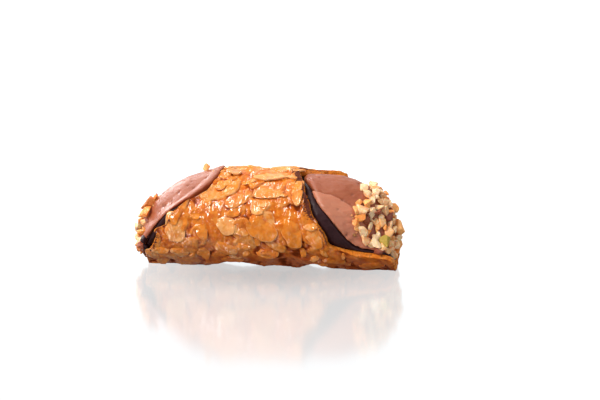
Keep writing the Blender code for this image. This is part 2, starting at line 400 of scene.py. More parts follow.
# Colours: the baked crust, from pale almond to burnt sugar, and near-black for painted shade, then the
# chocolate, and the cream with its painted light and shade
PALE = (0.80, 0.36, 0.115)
GOLD = (0.75, 0.228, 0.025)
AMBER = (0.63, 0.137, 0.009)
TOASTED = (0.43, 0.070, 0.004)
BROWN = (0.18, 0.028, 0.004)
# The next colour is painted shade: the near-black of the deepest crevices and of the slices' bottom faces
DARKEST_SHADE = (0.030, 0.008, 0.004)
BURNT_RIM = (0.22, 0.045, 0.008)
CUT_EDGE = (0.85, 0.47, 0.20)
CHOCOLATE = (0.026, 0.0072, 0.0085)
CHOCOLATE_STREAK = (0.038, 0.012, 0.014)
CHOCOLATE_STAIN = (0.10, 0.028, 0.018)
CREAM = (0.31, 0.073, 0.025)
CREAM_CLOUD = (0.36, 0.096, 0.038)
CREAM_SPECK = (0.33, 0.095, 0.05)
# Painted light, on the lobe below the cream's crease
CREAM_LIT = (0.58, 0.215, 0.12)
# Painted shade in the cream's pits, and its darker patches low on the right dome
CREAM_SHADE_AND_PATCHES = (0.20, 0.06, 0.035)


def soft(weight, radius, scale):
    """A shader's inputs for light that spreads below the surface, over a scale."""
    return {"Subsurface_Weight": weight, "Subsurface_Radius": radius, "Subsurface_Scale": scale * MM}


def baked(name, **softness):
    """A shader coloured like baked caramel and almond, whose shine is all in its coat of syrup."""
    shader = Shader(name, AMBER, Specular_IOR_Level=0.0, Coat_Roughness=0.04, Coat_IOR=1.8, **softness)
    uneven = shader.patches(2.2, 3, 0.5, 0.3, 0.7, -0.25, 0.25)
    tone = shader.math("ADD", shader.value("tone"), uneven)
    shader.layer(GOLD, shader.between(tone, 0.0, 0.5))
    shader.layer(PALE, shader.between(tone, 0.5, 1.05))
    freckles = shader.between(shader.cells(1.3), 0.1, 0.2, 0.55, 0.0)
    shader.layer(BROWN, shader.math("MULTIPLY", freckles, shader.patches(4, 1, 0.5, 0.45, 0.65)))
    shader.layer(TOASTED, shader.patches(5.5, 3, 0.6, 0.5, 0.72, 0, 0.36))
    # From here the colour is darkened by each point's value for painted shade, in crevices, under the
    # slices and along the underside. On the crust that value also carries browned patches.
    painted_shade_and_patches = shader.value("painted_shade_and_patches")
    shader.layer(TOASTED, shader.between(painted_shade_and_patches, 0, 0.6))
    shader.layer(BROWN, shader.between(painted_shade_and_patches, 0.45, 0.9))
    shader.layer(DARKEST_SHADE, shader.between(painted_shade_and_patches, 0.95, 1.6, 0, 0.6))
    return shader


def wet_glaze(shader):
    """The normals of the syrup on top: beads, and runs that follow the fall of the sides."""
    beads = shader.grain(1.0, 0)
    runs = shader.grain(1.7, 0, 0.4, (1, 0.5, 0.45))
    return shader.bumps((beads, 0.10), (runs, 0.75))


def syrup(shader):
    """How much syrup lies on top: it is patchy, and thins out towards the right mouth."""
    x = shader.add("SeparateXYZ", shader.place).outputs["X"]
    thinned = shader.between(x, -30 * MM, 20 * MM, 1.0, 0.5)
    return shader.math("MULTIPLY", thinned, shader.patches(8, 1, 0.5, 0.38, 0.58, 0.35, 1.0))


def crust_material():
    shader = baked("baked_crust", **soft(0.1, (1.0, 0.4, 0.15), 1.0))
    rim = shader.value("rim")
    shader.layer(BURNT_RIM, shader.math("MULTIPLY", rim, shader.patches(1.6, 4, 0.7, 0.42, 0.70)))
    patchy = shader.patches(0.8, 4, 0.7, 0.3, 0.7, -0.4, 0.4)
    stain = shader.between(shader.math("ADD", shader.value("stain"), patchy), 0.3, 0.7)
    shader.layer(CHOCOLATE_STAIN, stain)
    # Less coat where the crust is stained, on its burnt rim, and where shade is painted, so that the
    # painted shade carries no reflection
    dry_and_shaded = shader.math("MAXIMUM", stain, shader.math("MULTIPLY", rim, 0.8))
    dry_and_shaded = shader.math("MAXIMUM", dry_and_shaded, shader.between(shader.value("painted_shade_and_patches"), 0.3, 1.0))
    return shader.finish(
        Roughness=shader.patches(3, 2, 0.5, 0.35, 0.65, 0.32, 0.55),
        Normal=shader.bumps((shader.grain(0.35, 3, 0.6), 0.05), (shader.grain(1.5), 0.3)),
        Coat_Weight=shader.math("MULTIPLY", shader.between(dry_and_shaded, 0, 1, 0.95, 0.08), syrup(shader)),
        Coat_Normal=wet_glaze(shader),
    )


def slice_material():
    shader = baked("almond_slice", **soft(0.2, (1.0, 0.45, 0.2), 1.2))
    shader.layer(CUT_EDGE, shader.value("edge"))
    return shader.finish(
        Roughness=shader.patches(2.5, 2, 0.5, 0.35, 0.65, 0.3, 0.5),
        Normal=shader.bumps((shader.grain(0.3, 3, 0.6), 0.035), (shader.grain(1.7), 0.2)),
        Coat_Weight=syrup(shader),
        Coat_Normal=wet_glaze(shader),
    )


def chocolate_material():
    shader = Shader("dark_chocolate", CHOCOLATE, Specular_IOR_Level=0.18)
    shader.layer(CHOCOLATE_STREAK, shader.patches(2.5, 3, 0.6, 0.35, 0.75))
    return shader.finish(
        Roughness=shader.patches(2, 2, 0.5, 0.3, 0.7, 0.34, 0.5),
        Normal=shader.bumps((shader.grain(0.5, 3, 0.6), 0.03), (shader.grain(3), 0.25)),
    )


def cream_material():
    shader = Shader("chocolate_cream", CREAM, Specular_IOR_Level=0.5, **soft(0.3, (1.0, 0.45, 0.3), 1.6))
    shader.layer(CREAM_CLOUD, shader.patches(7, 3, 0.5, 0.3, 0.7))
    shader.layer(CREAM_SPECK, shader.patches(0.6, 3, 0.6, 0.55, 0.8, 0, 0.25))
    shader.layer(CREAM_LIT, shader.value("pale"))
    shader.layer(CREAM_SHADE_AND_PATCHES, shader.value("painted_shade_and_patches"))
    pores = shader.between(shader.cells(1.1), 0.02, 0.16)
    return shader.finish(
        Roughness=shader.patches(3, 2, 0.5, 0.3, 0.7, 0.37, 0.48),
        Normal=shader.bumps((shader.grain(0.4, 4, 0.6), 0.06), (pores, 0.13)),
    )


def nut_material(name, flesh, skin, broken):
    shader = Shader(name, flesh, Specular_IOR_Level=0.4, **soft(0.45, (1.0, 0.55, 0.3), 1.2))
    uneven = shader.patches(1.6, 3, 0.5, 0.3, 0.7, -0.3, 0.3)
    toast = shader.math("ADD", shader.value("tone"), uneven)
    shader.layer(skin, shader.between(toast, 0.2, 0.9))
    shader.layer(broken, shader.patches(0.7, 3, 0.6, 0.5, 0.75, 0, 0.5))
    return shader.finish(Roughness=0.5, Normal=shader.bumps((shader.grain(0.45, 4, 0.6), 0.09)))


# ---------------- crust


RIM_COLUMNS = 48
RIM_SOFTNESS = 2.5  # degrees


def rims(node):
    """Where a node ends along X, left and right, at each whole degree."""
    x, angle, _ = unwrap(node_points(node))
    step = 360 / RIM_COLUMNS
    column = np.round(angle / step).astype(int) % RIM_COLUMNS
    degrees = np.arange(360)
    ends = []
    for pick in (np.min, np.max):
        found = [pick(x[column == i]) for i in range(RIM_COLUMNS)]
        even = np.interp(degrees, np.arange(RIM_COLUMNS) * step, found, period=360)
        keep = np.exp(-0.5 * (2 * np.pi * np.fft.fftfreq(360) * RIM_SOFTNESS) ** 2)
        ends.append(np.fft.ifft(np.fft.fft(even) * keep).real)
    return ends


def hump(angle, middle, half, level=0):
    """A smooth bump round an angle: 1 within level degrees of its middle, and 0 past half more."""
    return fall(np.abs(turned(angle, middle)), level, half)


def end_at(ends, angle):
    return [np.interp(angle, np.arange(360), end, period=360) for end in ends]


CRUST_ENDS = rims("crust")
LINING_ENDS = rims("chocolate_lining")


def ragged(ends, angle, radius, layers):
    """The ends at an array of angles, each moved along X by its layers of noise."""
    ring = wrap(0, angle, radius)
    return [end + grains(ring, *rough) for end, rough in zip(end_at(ends, angle), layers)]


def slice_place(node):
    """x, angle, half length, half width and turn of a CAD slice on the unrolled crust."""
    x, angle, _ = unwrap(node_points(node))
    turns = np.radians(angle)
    middle = np.degrees(np.arctan2(np.sin(turns).mean(), np.cos(turns).mean()))
    flat = np.stack([x, turned(angle, middle) * DEGREE], -1)
    centre = flat.mean(0)
    spread = flat - centre
    _, directions = np.linalg.eigh(spread.T @ spread)
    long = directions[:, 1]
    across = np.array([-long[1], long[0]])
    low, high = (np.array([pick(spread @ long), pick(spread @ across)]) for pick in (np.min, np.max))
    shift, half = low + high, (high - low) / 2
    centre = centre + long * shift[0] / 2 + across * shift[1] / 2
    return centre[0], middle + centre[1] / DEGREE, half[0], half[1], math.atan2(long[1], long[0])


def reach_of(dx, ds, place, breaks, seed=0.0):
    """How far out in a slice a place is: 1 on its outline. A break is a direction and a share."""
    _, _, long, wide, turn = place
    u = dx * math.cos(turn) + ds * math.sin(turn)
    v = -dx * math.sin(turn) + ds * math.cos(turn)
    around = np.arctan2(v, u)
    uneven = 1 + 0.06 * np.sin(3 * around + seed) + 0.035 * np.sin(5 * around + 2 * seed)
    uneven = uneven + 0.02 * np.sin(9 * around)
    tapered = wide * (1 - SLICE_TAPER * u / long)
    reach = (np.abs(u / long) ** ROUND + np.abs(v / tapered) ** ROUND) ** (1 / ROUND) * uneven
    for direction, share in breaks:
        facing = math.radians(direction)
        limit = share * math.hypot(long * math.cos(facing - turn), wide * math.sin(facing - turn))
        broken = np.maximum((dx * math.cos(facing) + ds * math.sin(facing)) / limit, 0)
        reach = (reach**CORNERS + broken**CORNERS) ** (1 / CORNERS)
    return reach


def random_breaks(rng, most=3):
    count = int(rng.integers(0, most + 1))
    return [(rng.uniform(0, 360), rng.uniform(0.62, 0.88)) for _ in range(count)]


SLICES = []  # place, tone, breaks and random numbers of each CAD slice
for number, node in enumerate(SLICE_NODES, 1):
    rng = np.random.default_rng(200 + number)
    tone, breaks = FRONT_SLICES.get(number, (rng.uniform(0.3, 1.0), random_breaks(rng)))
    SLICES.append((slice_place(node), tone, breaks, rng))


class Crust:
    """The crust's outer surface: rows from the left rim to the right, and columns round the tube."""

    def __init__(self):
        self.angle = np.arange(COLUMNS) * 360 / COLUMNS
        ends = ragged(CRUST_ENDS, self.angle, CRUST_R, CRUST_RIMS)
        drawn = [length * hump(self.angle, middle, half) for middle, half, length in POINTS]
        self.left, self.right = (end + point for end, point in zip(ends, drawn))
        share = np.linspace(0, 1, ROWS)[:, None]
        self.x = self.left + (self.right - self.left) * share
        self.angles = np.broadcast_to(self.angle, self.x.shape)
        self.steps = ((self.right - self.left).mean() / ROWS, 360 / COLUMNS * DEGREE)
        self.ring = wrap(self.x, self.angles, CRUST_R)
        self.tone = np.full(self.x.shape, 0.2)
        self.moats_and_shadow = self.find_moats()
        relief = self.bury_slices()
        self.soft = self.base() + self.blur(relief, 2.2)
        self.ground = self.base() + relief - MOAT * self.moats_and_shadow

    def blur(self, field, size):
        """A field of the grid, smoothed over a size."""
        mirrored = np.concatenate([field, field[::-1]])
        rows = np.fft.fftfreq(len(mirrored), self.steps[0])[:, None]
        columns = np.fft.fftfreq(COLUMNS, self.steps[1])
        keep = np.exp(-2 * (np.pi * size) ** 2 * (rows**2 + columns**2))
        return np.fft.ifft2(np.fft.fft2(mirrored) * keep).real[: len(field)]

    def base(self):
        """The surface's height over CRUST_R: the flap, the foot and the larger lumps."""
        start, length, turn = SEAM_TURN
        seam = SEAM + grains(self.ring, *SEAM_WAVES) - turn * rise(self.x, start, length)
        height = FLAP_RISE * fall((self.angles - seam) % 360, 0, FLAP_SPREAD)
        height = height + FOOT * hump(self.angles, 180, FOOT_SPREAD)
        middle, half, out = FLARE
        along = rise(self.x, 8, 12) * (1 - 0.8 * rise(self.x, 26, 9))
        height = height + out * hump(self.angles, middle, half) * along
        return height + grains(self.ring, *LUMPS)

    def bury_slices(self):
        """Lays sliced almonds over one another, then lets caramel fill the gaps between them."""
        rng = np.random.default_rng(5)
        level = np.zeros(self.x.shape)
        for _ in range(BURIED_SLICES):
            x0, a0 = rng.uniform(-58, 60), rng.uniform(0, 360)
            half = rng.uniform(*BURIED_LONG), rng.uniform(*BURIED_WIDE)
            place = (x0, a0, *half, rng.uniform(0, math.pi))
            lean_x, lean_s = rng.normal(0, 0.05), rng.normal(0, 0.07)
            shade, breaks = rng.uniform(0.3, 0.95), random_breaks(rng)
            dx, ds = self.x - x0, turned(self.angles, a0) * DEGREE
            reach = reach_of(dx, ds, place, breaks, a0)
            inside = reach < 1
            if inside.sum() < BURIED_LEAST:
                continue
            rounded = 0.35 * rise(reach, 0.84, 0.16)
            top = level[inside].mean() + BURIED_THICKNESS + lean_x * dx + lean_s * ds - rounded
            shown = inside & (top > level)
            level = np.where(shown, top, level)
            edge = rise(reach, 0.78, 0.2)
            self.tone = np.where(shown, shade * (0.75 + 0.4 * edge), self.tone)
        level -= self.blur(level, 5)
        pool = self.blur(level, 1.6) + (grains(self.ring, *POOLS) - POOL_DEPTH)
        filled = np.maximum(level, pool)
        drowned = rise(pool - level, -0.1, 0.35)
        self.tone = self.tone * (1 - drowned) + POOL_TONE * drowned
        stretched = self.ring * np.array([1, 0.33, 0.33])  # for wrinkles that run round the tube
        wrinkles = 0.22 * noise(stretched, 2.6, 55) * (0.35 + 0.65 * drowned)
        return np.clip(filled, *BURIED_RELIEF) + (wrinkles + grains(self.ring, *GRIT))

    def find_moats(self):
        """Where the dents are along the lower edges of the CAD's slices, where the glaze hasn't run. They
        are also painted darker there, as painted shadow under those edges.
        """
        dent = np.zeros(self.x.shape)
        for place, _, breaks, _ in SLICES:
            dx, ds = self.x - place[0], turned(self.angles, place[1]) * DEGREE
            reach = reach_of(dx, ds, place, breaks)
            down = 1 if place[1] % 360 < 180 else -1
            lower = smooth(0.5 + 0.5 * down * ds / place[3])
            outside = (reach - 1) * place[3]
            dent = np.maximum(dent, lower * np.exp(-(((outside - 0.1) / 0.5) ** 2)))
        return dent

    def ends_at(self, angle):
        return [np.interp(angle, self.angle, end, period=360) for end in (self.left, self.right)]

    def at(self, field, x, angle):
        """A field's value at places on the unrolled crust."""
        left, right = self.ends_at(angle)
        row = np.clip((x - left) / (right - left), 0, 1) * (ROWS - 1.001)
        column = angle % 360 / 360 * COLUMNS
        i, j = np.floor(row).astype(int), np.floor(column).astype(int) % COLUMNS
        p, q = row - i, column - np.floor(column)
        k = (j + 1) % COLUMNS
        low = field[i, j] * (1 - q) + field[i, k] * q
        high = field[i + 1, j] * (1 - q) + field[i + 1, k] * q
        return low * (1 - p) + high * p

    def underside(self, x):
        """Height of the underside over the floor: it arches off it in places."""
        arches = [high * fall(np.abs(x - middle), 0, half) for middle, half, high in ARCHES]
        return np.max(arches, axis=0)

    def point(self, x, angle, height):
        """Points at heights over CRUST_R, never below the underside."""
        points = wrap(x, angle, CRUST_R + height)
        ripple = 0.25 + 0.25 * noise(points, 2.5, 61)
        sole = self.underside(points[..., 0])
        lowest = sole + np.where(sole > 0.3, ripple, 0.0)
        points[..., 2] = np.maximum(points[..., 2], lowest)
        return points

    def shade_and_browning(self):
        """How dark each place is: painted shade in dents, under the slices' lower edges and along the
        underside, and browned patches.
        """
        # The dents, the strips under the slices' lower edges and the underside give painted shade; only the
        # patches are browning
        dents = rise(self.blur(self.ground, 1.3) - self.ground, 0.05, 0.38)
        downward = rise(np.cos(np.radians(self.angles - 180)), 0.3, 0.6)
        below = downward * (0.25 + 0.75 * rise(self.x, -38, 14))
        patches = rise(grains(self.ring, *BROWNED), 0.1, 0.6)
        return 0.9 * dents + 0.2 * self.moats_and_shadow + 0.42 * below + 0.25 * patches

    def from_rim(self):
        """Distance along X from the nearer rim."""
        return np.minimum(self.x - self.left, self.right - self.x)

    def stained(self):
        """Where chocolate has smeared over the crust beside its mouths."""
        from_left, from_right = self.x - self.left, self.right - self.x
        wide = 5.2 + 1.8 * noise(self.ring, 6, 81)
        narrow = 1.8 + 1.4 * noise(self.ring, 4, 82)
        upper_right = fall(from_right, 0.3, wide) * hump(self.angles, 33, 20, 40)
        left_front = fall(from_left, 0, narrow) * hump(self.angles, 110, 15, 25)
        right_lip = fall(from_right, 0, 1.5) * hump(self.angles, 100, 24)
        any_rim = fall(self.from_rim(), 0, 1.0)
        return np.max([0.9 * upper_right, 0.7 * left_front, 0.75 * right_lip, 0.12 * any_rim], axis=0)

    def build(self):
        outer = self.point(self.x, self.angles, self.ground)
        inner_share = np.linspace(1, 0, INNER_ROWS)[:, None]
        inner_x = self.left + (self.right - self.left) * inner_share
        ring = wrap(inner_x, self.angle, CRUST_IN)
        inner = wrap(inner_x, self.angle, CRUST_IN + 0.15 + 0.15 * noise(ring, 2, 62))
        lips = []
        for x, end in ((self.right, 1), (self.left, -1)):
            rows = []
            edge = outer[-1] if end > 0 else outer[0]
            bottom = inner[0] if end > 0 else inner[-1]
            for share in LIP_SHARES:
                row = edge + (bottom - edge) * share
                bulge = LIP_BULGE * math.sin(math.pi * share)
                row[:, 0] += end * (bulge + grains(row, *LIP_GRIT))
                rows.append(row)
            lips.append(rows if end > 0 else rows[::-1])
        grid = np.concatenate([outer, lips[0], inner, lips[1]])
        extra = len(grid) - ROWS

        def spread(field, lip):
            return np.concatenate([field, np.full((extra, COLUMNS), lip)])

        rim = fall(self.from_rim(), 0.4, 3.5)
        values = {
            "tone": spread(self.tone, 0.5),
            "painted_shade_and_patches": spread(self.shade_and_browning(), 0.05),
            "rim": spread(rim * 0.7, 0.75),
            "stain": spread(self.stained(), 0.1),
        }
        faces = loft_faces(len(grid), COLUMNS, loop=True)
        made = piece("crust_baked", grid.reshape(-1, 3), faces, crust_material(), values)
        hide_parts("crust")


# ---------------- sliced almonds


# Rings of a slice from the middle of its top face, over its edge, to the middle of its bottom face:
# reach, how deep in the slice's thickness, and how much it shows the cut edge
SLICE_RINGS = (
    *((reach, 0.0, 0.0) for reach in (0.08, 0.2, 0.32, 0.44, 0.56, 0.67, 0.77, 0.86, 0.92)),
    (0.965, 0.03, 0.35), (0.99, 0.18, 0.8), (1.0, 0.4, 1.0), (0.995, 0.7, 0.9), (0.97, 0.95, 0.5),
    (0.85, 1.0, 0.0), (0.55, 1.0, 0.0), (0.2, 1.0, 0.0),
)  # fmt: skip


def slice_outline(place, breaks, seed, count):
    """The outline's steps along x and along the arc."""
    t = np.linspace(0, 2 * math.pi, count, endpoint=False)
    _, _, long, wide, turn = place
    u, v = long * np.cos(t), wide * np.sin(t)
    dx, ds = u * math.cos(turn) - v * math.sin(turn), u * math.sin(turn) + v * math.cos(turn)
    reach = reach_of(dx, ds, place, breaks, seed)
    chips = 1 + 0.02 * noise(np.stack([dx, ds, np.full(count, seed)], -1), 0.9, 94)
    return dx / reach * chips, ds / reach * chips


def slice_body(crust, place, tone, breaks, rng, count=88, thickness=(0.8, 1.05), lift=(0.45, 0.95)):
    """Points, faces and values of a slice: its upper edge sunk in the glaze, its lower one standing off."""
    x0, a0, long, wide, turn = place
    seed = float(rng.integers(1000))
    dx1, ds1 = slice_outline(place, breaks, seed, count)
    down = 1 if a0 % 360 < 180 else -1
    lift, wall = rng.uniform(*lift), rng.uniform(*thickness)
    stiff, crown = rng.uniform(0.15, 0.4), rng.uniform(-0.1, 0.3)
    half_arc = np.abs(ds1).max()
    rings, tones, edges, painted_shades = [], [], [], []
    for reach, depth, edge in SLICE_RINGS:
        dx, ds = dx1 * reach, ds1 * reach
        x, angle = x0 + dx, a0 + ds / DEGREE
        lower = smooth(0.5 + 0.5 * down * ds / half_arc)
        spot = wrap(x, angle, CRUST_R)
        height = crust.at(crust.soft, x, angle) + 0.05 + lift * lower + stiff * 0.5 * ds**2 / CRUST_R
        height = height + crown * (1 - reach**2) + 0.25 * noise(spot, 6, 92)
        height = height + grains(spot, *SLICE_GRIT) * (1 - depth)
        sunk = fall(lower, 0.3, 0.4) * rise(reach, 0.5, 0.45)
        height = height + sunk * (np.minimum(crust.at(crust.ground, x, angle) - 0.3, height) - height)
        rings.append(crust.point(x, angle, height - wall * depth))
        # Painted shade: the tone falls down the sides and on the bottom face, and the dark value rises
        # there and towards the underside. The upper edge's lower tone is the glaze over it.
        glazed = 0.25 * rise(0.45 - lower, 0, 0.4)
        tones.append(tone + 0.3 * noise(spot + seed, 3.5, 93) - 0.2 * depth - glazed)
        edges.append(edge * (0.35 + 0.55 * lower))
        below = rise(np.cos(np.radians(angle - 180)), 0.45, 0.5)
        painted_shades.append(0.28 * below + 0.7 * (depth == 1.0) + 0.1 * depth)
    points, faces = capped(rings)
    values = {}
    for key, parts in (("tone", tones), ("edge", edges), ("painted_shade_and_patches", painted_shades)):
        parts = np.concatenate(parts)
        values[key] = np.append(parts, [parts[0], parts[-1]])
    return points, faces, values


def build_slices(crust):
    material = slice_material()
    for node, (place, tone, breaks, rng) in zip(SLICE_NODES, SLICES):
        points, faces, values = slice_body(crust, place, tone, breaks, rng)
        made = piece(f"{node}_glazed", points, faces, material, values)
        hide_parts(node)


def build_slivers(crust):
    """The small broken slices: a few that the front shows, and strays all over."""
    rng = np.random.default_rng(61)
    heap = Heap()
    chosen = []
    for x, angle, long, wide, turn, tone in SLIVERS:
        chosen.append((x, angle, long / 2, wide / 2, math.radians(turn), tone))
    while len(chosen) < len(SLIVERS) + STRAY_SLIVERS:
        x, angle = rng.uniform(-52, 55), rng.uniform(-175, 175)
        left, right = crust.ends_at(angle % 360)
        long = rng.uniform(1.6, 3.4)
        shape = (long, long * rng.uniform(0.35, 0.7), rng.uniform(0, math.pi), rng.uniform(0.35, 1.0))
        if left + 2 < x < right - 2 and abs(angle) < 150:
            chosen.append((x, angle, *shape))
    for *place, tone in chosen:
        breaks = random_breaks(rng, 4)
        points, faces, values = slice_body(crust, place, tone, breaks, rng, 36, (0.6, 0.9), (0.3, 0.9))
        heap.add(points, faces, values)
    heap.build("almond_slivers", slice_material())


# ---------------- chocolate lining


LINING_COLUMNS = 300
LINING_THICKNESS = 1.9


def build_lining():
    angle = np.arange(LINING_COLUMNS) * 360 / LINING_COLUMNS
    left, right = ragged(LINING_ENDS, angle, LINING_R, LINING_RIMS)
    crust_left, crust_right = end_at(CRUST_ENDS, angle)
    depth = np.concatenate([np.linspace(0, 12, 30), [16, 22]])
    rows = [left + d for d in depth] + [right - d for d in depth[::-1]]
    outer = []
    for x in rows:
        past = np.maximum(x - crust_right, crust_left - x)
        out = 0.55 * rise(past, -0.3, 2.5)
        round_off = 0.9 * fall(np.minimum(x - left, right - x), 0, 1.1) ** 1.5
        wave = grains(wrap(x, angle, LINING_R), *LINING_WAVES)
        outer.append(wrap(x, angle, LINING_R + out - round_off + wave * rise(past, 0, 1.5)))
    inside = LINING_R - LINING_THICKNESS
    inner = [wrap(x, angle, inside) for x in (right - 0.4, right - 8, left + 8, left + 0.4)]
    grid = np.concatenate([outer, inner])
    faces = loft_faces(len(grid), LINING_COLUMNS, loop=True)
    made = piece("chocolate_coat", grid.reshape(-1, 3), faces, chocolate_material())
    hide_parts("chocolate_lining")


# ---------------- cream


SUBDIVISIONS = 3


def subdivided(node):
    """Points, normals and faces of a CAD node, rounded by subdivision."""
    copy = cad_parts[node].data.copy()
    shape = bmesh.new()
    shape.from_mesh(copy)
    bmesh.ops.remove_doubles(shape, verts=shape.verts, dist=1e-6)
    shape.to_mesh(copy)
    shape.free()
    holder = linked("holder", copy)
    rounding = holder.modifiers.new("rounding", "SUBSURF")
    rounding.levels = rounding.render_levels = SUBDIVISIONS
    bpy.context.view_layer.update()
    rounded = holder.evaluated_get(bpy.context.evaluated_depsgraph_get())
    fine = bpy.data.meshes.new_from_object(rounded)
    bpy.data.objects.remove(holder)
    count = len(fine.vertices)
    points, normals = np.empty(count * 3), np.empty(count * 3)
    fine.vertices.foreach_get("co", points)
    fine.vertex_normals.foreach_get("vector", normals)
    faces = [list(face.vertices) for face in fine.polygons]
    bpy.data.meshes.remove(fine)
    return points.reshape(-1, 3) / MM, normals.reshape(-1, 3), faces


# Each dome's outline as the photo's side shows it: x and height over the axis
LEFT_HEART = (-39.7, -1.0)
LEFT_PROFILE = (
    (-20.5, 21.9), (-25, 21.7), (-30, 20.5), (-34.9, 18.9), (-40.2, 16.2), (-45, 13.2),
    (-50.2, 8.8), (-54.7, 4), (-57.7, -1), (-59.6, -7), (-60.0, -12), (-57.5, -17),
)  # fmt: skip
RIGHT_HEART = (35.8, 0.8)
RIGHT_PROFILE = (
    (16, 19.6), (25, 20.0), (31, 19.6), (36.6, 18.4), (42, 15.8), (48, 12.4), (52.6, 7.6),
    (54.8, 1), (56, -5), (56, -11), (54.6, -16.2),
)  # fmt: skip
PROFILE_STEP, PROFILE_NEAR = 3, 2  # degrees
CREASE_HEART = (22.2, 8.4)  # x and z of the middle of the arc that the cream's crease follows
CREASE_R = 26
PITS = 110
PIT_SIZES = (0.25, 0.7)
CREAM_LOWEST = 3.2
SMOOTHING = (0.1, 0.25, 0.3, 0.25, 0.1)


def polar(x, z, heart):
    return np.degrees(np.arctan2(z - heart[1], x - heart[0])), np.hypot(x - heart[0], z - heart[1])


def fitted(points, outward, heart, profile):
    """Points moved away from or towards a dome's heart, so that its outline follows the profile."""
    turn, reach = polar(points[:, 0], points[:, 2] - AXIS_Z, heart)
    want_turn, want = (np.array(part) for part in zip(*(polar(x, z, heart) for x, z in profile)))
    order = np.argsort(want_turn % 360 if outward < 0 else want_turn)
    if outward < 0:
        turn, want_turn = turn % 360, want_turn % 360
    steps = np.arange(want_turn.min(), want_turn.max() + 0.1, PROFILE_STEP)
    own = np.array([reach[np.abs(turn - step) < PROFILE_NEAR].max() for step in steps])
    ratio = np.interp(steps, want_turn[order], want[order]) / own
    ratio = np.convolve(np.pad(ratio, len(SMOOTHING) // 2, mode="edge"), SMOOTHING, mode="valid")
    scale = np.interp(turn, steps, ratio)
    shown = rise(points[:, 0] * outward, 14, 6)
    factor = 1 + (scale - 1) * shown
    moved = points.copy()
    moved[:, 0] = heart[0] + (points[:, 0] - heart[0]) * factor
    moved[:, 2] = AXIS_Z + heart[1] + (points[:, 2] - AXIS_Z - heart[1]) * factor
    return moved


def pits(points, shown):
    """How deep the pits are that bubbles left, at each point. Their middles are among those that show."""
    rng = np.random.default_rng(7)
    pitted = np.zeros(len(points))
    for _ in range(PITS):
        middle = points[rng.choice(shown)]
        size = rng.uniform(*PIT_SIZES)
        apart = np.linalg.norm(points - middle, axis=1)
        pitted = np.maximum(pitted, size * np.exp(-(apart**2) / size**2))
    return pitted


def build_cream():
    points, normals, faces = subdivided("cream_filling")
    x, angle, radius = unwrap(points)
    left, right = end_at(LINING_ENDS, angle)
    past = np.maximum(x - right, left - x)
    outside = rise(past, -0.2, 0.8)
    for outward, heart, profile in ((-1, LEFT_HEART, LEFT_PROFILE), (1, RIGHT_HEART, RIGHT_PROFILE)):
        side = points[:, 0] * outward > 0
        moved = fitted(points[side], outward, heart, profile)
        points[side] += (moved - points[side]) * rise(past[side], -1.5, 3)[:, None]
    radial = wrap(x, angle, 1.0) - wrap(x, angle, 0.0)
    overhang = 1.1 * rise(past, -0.1, 0.9) * fall(past, 1.0, 5) * rise(radius, 14, 3)
    move = radial * overhang[:, None]
    tucked = rise(1.2 - past, 0, 1.2) * rise(radius, 16.5, 1.2) * outside
    move[:, 0] -= 0.25 * np.sign(x) * tucked

    # A spatula's last stroke left a crease across the right dome's front. The cream below stands proud.
    below = CREASE_R - np.hypot(x - CREASE_HEART[0], points[:, 2] - CREASE_HEART[1])
    below = below + 0.25 * noise(points, 3, 116)
    front = rise(AXIS_Y - points[:, 1], 4, 5) * rise(x, 15, 3) * fall(x, 42, 4)
    step = rise(below, -0.2, 0.45) * fall(below, 1.5, 9)
    height = (0.7 * step - 0.35 * np.exp(-(((below + 0.25) / 0.4) ** 2))) * front
    strokes = points * np.array([0.35, 0.6, 1.4])
    texture = grains(points, (0.13, 2.6, 112), (0.07, 0.9, 114)) + 0.12 * noise(strokes, 1.8, 113)
    height = height + 0.35 * noise(points, 8, 111) + texture * np.where(x < 0, 0.5, 1.0)
    pitted = pits(points, np.flatnonzero(past > 1.5))
    height = height - 0.9 * pitted
    points = points + move + normals * (height * outside)[:, None]
    points[:, 2] = np.maximum(points[:, 2], CREAM_LOWEST)
    low = rise(x, 44, 8) * rise(17 - points[:, 2], 0, 9)
    # pale is painted light: the lobe below the crease is lighter, most along its top edge, where light from
    # above falls on it
    pale = 0.75 * front * rise(below, -0.2, 0.5) * (1 - 0.6 * rise(below, 5, 12))
    # The dark value: painted shade in the pits, and patches that darken the right dome low down at its end
    painted_shade_and_patches = 0.6 * low * rise(noise(points, 2.2, 115), -0.6, 0.8) + 0.9 * pitted
    made = piece("cream_piped", points, faces, cream_material(), {"painted_shade_and_patches": painted_shade_and_patches, "pale": pale})
    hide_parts("cream_filling")
    return BVHTree.FromPolygons([Vector(p) for p in points], faces)


# ---------------- nuts


PART_X = -0.24  # the tube's middle along X
VIEW_AZIMUTH = 10.5
VIEW_ELEVATION = 7.5
VIEW_FROM = 200  # how far off the rays start that look for the cream
VIEW_SHARES = np.linspace(1, 0.8, 41)  # shares of the way out at which the rays are tried
MOST_PAST = 0.5  # how far off the cream a nut's middle may stand


def view_axes():
    """Right, up and towards the viewer, as the photo looks at the tube."""
    azimuth, elevation = math.radians(VIEW_AZIMUTH), math.radians(VIEW_ELEVATION)
    level = math.cos(elevation)
    back = Vector((math.sin(azimuth) * level, -math.cos(azimuth) * level, math.sin(elevation)))
    right = Vector((math.cos(azimuth), math.sin(azimuth), 0))
    return right, back.cross(right), back


